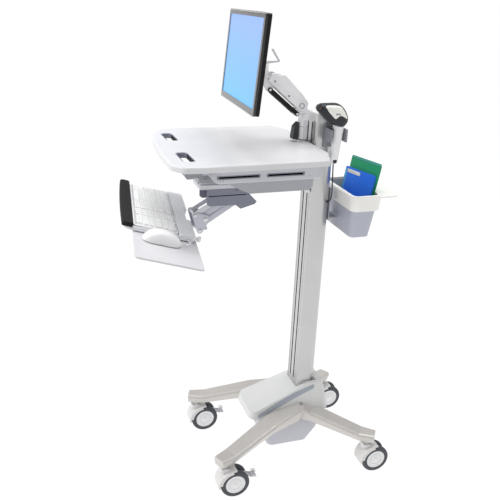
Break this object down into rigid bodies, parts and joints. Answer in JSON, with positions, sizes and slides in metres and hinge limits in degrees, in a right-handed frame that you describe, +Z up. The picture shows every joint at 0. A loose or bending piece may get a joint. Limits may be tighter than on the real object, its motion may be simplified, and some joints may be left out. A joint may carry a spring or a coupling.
{
  "type": "mobile point-of-care cart",
  "caption": "Height-adjustable hospital cart on casters with worksurface, screen arm, swinging keyboard and mouse tray, rear bin and hand scanner.",
  "frame": {"origin": "on the floor, under the middle of the whole cart's bounding box at rest", "axes": "+Z up, -Y towards the user who stands at the keyboard, +X to that user's right"},
  "size_m": [0.6866, 0.9245, 1.5528],
  "materials": {
    "caster_housing": "satin moulded plastic",
    "caster_wheel": "soft tread",
    "brake_tab": "fine grain",
    "leg_casting": "satin, cast and painted clear",
    "base_cover": "fine grain",
    "ballast_cover": "satin powder coat",
    "column": "satin anodised extrusion",
    "cap": "fine grain",
    "cylinder": "gloss",
    "rod": "ground and plated",
    "carriage": "machined",
    "pads": "low-friction plastic",
    "worksurface": "smooth",
    "housing": "fine grain",
    "beam": "satin powder coat",
    "lever_grey": "satin",
    "glide": "satin",
    "hood": "fine grain",
    "arm_grey": "satin powder coat",
    "link_grey": "satin powder coat",
    "knuckle_white": "satin powder coat",
    "tray": "fine grain",
    "palm_rest": "soft, fine grain",
    "keyboard_case": "satin",
    "keys": "satin",
    "mouse": "smooth",
    "stem": "satin powder coat",
    "cable_guide": "fine grain",
    "screen_arm": "satin",
    "screen_link": "satin powder coat",
    "screen_head": "satin powder coat",
    "screen_case": "fine grain",
    "bezel": "satin",
    "panel": "anti-glare",
    "bin_body": "fine grain",
    "bin_rim": "satin",
    "green_card": "pressed card",
    "blue_card": "pressed card",
    "scanner_holder": "fine grain",
    "scanner": "satin",
    "cord": "smooth jacket"
  },
  "bodies": {
    "base": {"base_frame": "leg_casting", "base_cover": "base_cover", "ballast_box": "ballast_cover", "column": "column", "column_cap": "cap", "lift_cylinder": "cylinder", "bin_body": "bin_body", "bin_rim": "bin_rim", "bin_bracket": "beam", "scanner_holder": "scanner_holder", "scanner_cord": "cord"},
    "head": {"lift_rod": "rod", "carriage": "carriage", "glide_pads": "pads", "worksurface": "worksurface", "head_housing": "housing", "housing_beam": "beam", "post_foot": "stem"},
    "lift_lever": {"lift_lever": "lever_grey"},
    "keyboard_glide": {"glide_block": "glide"},
    "keyboard_hood": {"keyboard_hood": "hood"},
    "keyboard_arm": {"keyboard_arm": "arm_grey"},
    "keyboard_link": {"keyboard_link": "link_grey"},
    "tray_knuckle": {"tray_knuckle": "knuckle_white"},
    "tilt_bracket": {"tilt_bracket": "link_grey"},
    "keyboard_tray": {"keyboard_tray": "tray", "palm_rest": "palm_rest", "keyboard_case": "keyboard_case"},
    "keys": {"keyboard_keys": "keys"},
    "mouse_tray": {"mouse_tray": "tray", "mouse_cord": "cord"},
    "mouse": {"mouse": "mouse"},
    "screen_stem": {"screen_stem": "stem", "cable_guide": "cable_guide"},
    "screen_arm": {"screen_arm": "screen_arm"},
    "screen_link": {"screen_link": "screen_link"},
    "arm_knuckle": {"arm_knuckle": "screen_head"},
    "pan_head": {"pan_head": "screen_head", "tilt_lever": "screen_head"},
    "tilt_head": {"tilt_head": "screen_head"},
    "screen": {"vesa_plate": "screen_link", "screen_back_shell": "screen_case", "screen_bezel": "bezel", "screen_panel": "panel"},
    "scanner": {"scanner_body": "scanner"},
    "scanner_trigger": {"scanner_trigger": "lever_grey"},
    "green_folder": {"green_folder": "green_card"},
    "blue_folder": {"blue_folder": "blue_card"},
    "front_right_fork": {"front_right_fork": "caster_housing"},
    "front_right_wheels": {"front_right_wheels": "caster_wheel"},
    "front_right_brake_pedal": {"front_right_brake_pedal": "brake_tab"},
    "front_left_fork": {"front_left_fork": "caster_housing"},
    "front_left_wheels": {"front_left_wheels": "caster_wheel"},
    "front_left_brake_pedal": {"front_left_brake_pedal": "brake_tab"},
    "rear_right_fork": {"rear_right_fork": "caster_housing"},
    "rear_right_wheels": {"rear_right_wheels": "caster_wheel"},
    "rear_left_fork": {"rear_left_fork": "caster_housing"},
    "rear_left_wheels": {"rear_left_wheels": "caster_wheel"}
  },
  "joints": [
    {"name": "front_right_swivel", "type": "hinge", "parent": "base", "child": "front_right_fork", "pos_m": [0.1173, -0.1417, 0.125], "axis": [0, 0, 1], "continuous": true},
    {"name": "front_right_roll", "type": "hinge", "parent": "front_right_fork", "child": "front_right_wheels", "pos_m": [0.1173, -0.1097, 0.05], "axis": [1, 0, 0], "continuous": true},
    {"name": "front_right_brake", "type": "hinge", "parent": "front_right_fork", "child": "front_right_brake_pedal", "pos_m": [0.1173, -0.0897, 0.072], "axis": [1, 0, 0], "range_deg": [-12, 0]},
    {"name": "front_left_swivel", "type": "hinge", "parent": "base", "child": "front_left_fork", "pos_m": [-0.2647, -0.1417, 0.125], "axis": [0, 0, 1], "continuous": true},
    {"name": "front_left_roll", "type": "hinge", "parent": "front_left_fork", "child": "front_left_wheels", "pos_m": [-0.2647, -0.1097, 0.05], "axis": [1, 0, 0], "continuous": true},
    {"name": "front_left_brake", "type": "hinge", "parent": "front_left_fork", "child": "front_left_brake_pedal", "pos_m": [-0.2647, -0.0897, 0.072], "axis": [1, 0, 0], "range_deg": [-12, 0]},
    {"name": "rear_right_swivel", "type": "hinge", "parent": "base", "child": "rear_right_fork", "pos_m": [0.1243, 0.3803, 0.125], "axis": [0, 0, 1], "continuous": true},
    {"name": "rear_right_roll", "type": "hinge", "parent": "rear_right_fork", "child": "rear_right_wheels", "pos_m": [0.1243, 0.4123, 0.05], "axis": [1, 0, 0], "continuous": true},
    {"name": "rear_left_swivel", "type": "hinge", "parent": "base", "child": "rear_left_fork", "pos_m": [-0.2717, 0.3803, 0.125], "axis": [0, 0, 1], "continuous": true},
    {"name": "rear_left_roll", "type": "hinge", "parent": "rear_left_fork", "child": "rear_left_wheels", "pos_m": [-0.2717, 0.4123, 0.05], "axis": [1, 0, 0], "continuous": true},
    {"name": "head_lift", "type": "slide", "parent": "base", "child": "head", "axis": [0, 0, 1], "range_m": [-0.393, 0.085]},
    {"name": "lift_release", "type": "hinge", "parent": "head", "child": "lift_lever", "pos_m": [0.0463, -0.2127, 1.122], "axis": [1, 0, 0], "range_deg": [-14, 0], "stiffness_Nm_per_rad": 2, "springref_deg": 2.86},
    {"name": "keyboard_slide", "type": "slide", "parent": "head", "child": "keyboard_glide", "axis": [0, 1, 0], "range_m": [0, 0.15]},
    {"name": "keyboard_swivel", "type": "hinge", "parent": "keyboard_glide", "child": "keyboard_hood", "pos_m": [-0.0737, -0.0507, 1.034], "axis": [0, 0, 1], "range_deg": [-30, 30]},
    {"name": "keyboard_lift", "type": "hinge", "parent": "keyboard_hood", "child": "keyboard_arm", "pos_m": [-0.0737, -0.0507, 1.008], "axis": [1, 0, 0], "range_deg": [-20, 14]},
    {"name": "keyboard_link_turn", "type": "hinge", "parent": "keyboard_hood", "child": "keyboard_link", "pos_m": [-0.0737, -0.0847, 1.023], "axis": [1, 0, 0], "range_deg": [-20, 14]},
    {"name": "tray_level", "type": "hinge", "parent": "keyboard_arm", "child": "tray_knuckle", "pos_m": [-0.0737, -0.1787, 0.934], "axis": [1, 0, 0], "range_deg": [-14, 20]},
    {"name": "tray_tilt", "type": "hinge", "parent": "tray_knuckle", "child": "tilt_bracket", "pos_m": [-0.0737, -0.1962, 0.898], "axis": [1, 0, 0], "range_deg": [-3, 14]},
    {"name": "tray_swivel", "type": "hinge", "parent": "tilt_bracket", "child": "keyboard_tray", "pos_m": [-0.0737, -0.26433, 0.9263], "axis": [0, 0.2419, 0.9703], "range_deg": [-16, 33]},
    {"name": "key_press", "type": "slide", "parent": "keyboard_tray", "child": "keys", "axis": [0, -0.2419, -0.9703], "range_m": [0, 0.0025], "stiffness_N_per_m": 2000, "springref_m": -0.003},
    {"name": "mouse_tray_slide", "type": "slide", "parent": "keyboard_tray", "child": "mouse_tray", "axis": [0.9885, -0.1468, 0.0366], "range_m": [0, 0.05]},
    {"name": "mouse_lift_off", "type": "slide", "parent": "mouse_tray", "child": "mouse", "axis": [0, 0.2419, 0.9703], "range_m": [0, 0.06]},
    {"name": "screen_swivel", "type": "hinge", "parent": "head", "child": "screen_stem", "pos_m": [-0.0737, 0.1373, 1.166], "axis": [0, 0, 1], "range_deg": [-50, 50]},
    {"name": "screen_lift", "type": "hinge", "parent": "screen_stem", "child": "screen_arm", "pos_m": [-0.0737, 0.1203, 1.274], "axis": [-1, 0, 0], "range_deg": [-42, 6]},
    {"name": "screen_link_turn", "type": "hinge", "parent": "screen_stem", "child": "screen_link", "pos_m": [-0.0737, 0.1103, 1.248], "axis": [-1, 0, 0], "range_deg": [-42, 6]},
    {"name": "screen_level", "type": "hinge", "parent": "screen_arm", "child": "arm_knuckle", "pos_m": [-0.0737, 0.0283, 1.349], "axis": [-1, 0, 0], "range_deg": [-6, 42]},
    {"name": "screen_pan", "type": "hinge", "parent": "arm_knuckle", "child": "pan_head", "pos_m": [-0.0737, 0.0033, 1.362], "axis": [0, 0, 1], "range_deg": [-45, 45]},
    {"name": "screen_tilt", "type": "hinge", "parent": "pan_head", "child": "tilt_head", "pos_m": [-0.0737, -0.0097, 1.404], "axis": [1, 0, 0], "range_deg": [-18, 12]},
    {"name": "screen_portrait", "type": "hinge", "parent": "tilt_head", "child": "screen", "pos_m": [-0.06923, -0.02713, 1.41359], "axis": [0.0971, 0.9906, -0.0958], "range_deg": [0, 92]},
    {"name": "scanner_lift_off", "type": "slide", "parent": "base", "child": "scanner", "axis": [0, 0, 1], "range_m": [0, 0.12]},
    {"name": "trigger_press", "type": "slide", "parent": "scanner", "child": "scanner_trigger", "axis": [0, 1, 0], "range_m": [0, 0.0035], "stiffness_N_per_m": 800, "springref_m": -0.002},
    {"name": "green_folder_lift_out", "type": "slide", "parent": "base", "child": "green_folder", "axis": [-0.0503, 0.2017, 0.9781], "range_m": [0, 0.24]},
    {"name": "blue_folder_lift_out", "type": "slide", "parent": "base", "child": "blue_folder", "axis": [-0.0503, 0.2017, 0.9781], "range_m": [0, 0.21]}
  ],
  "couplings": [
    {"joint": "keyboard_link_turn", "follows": "keyboard_lift", "ratio": 1},
    {"joint": "tray_level", "follows": "keyboard_lift", "ratio": -1},
    {"joint": "screen_link_turn", "follows": "screen_lift", "ratio": 1},
    {"joint": "screen_level", "follows": "screen_lift", "ratio": -1}
  ]
}
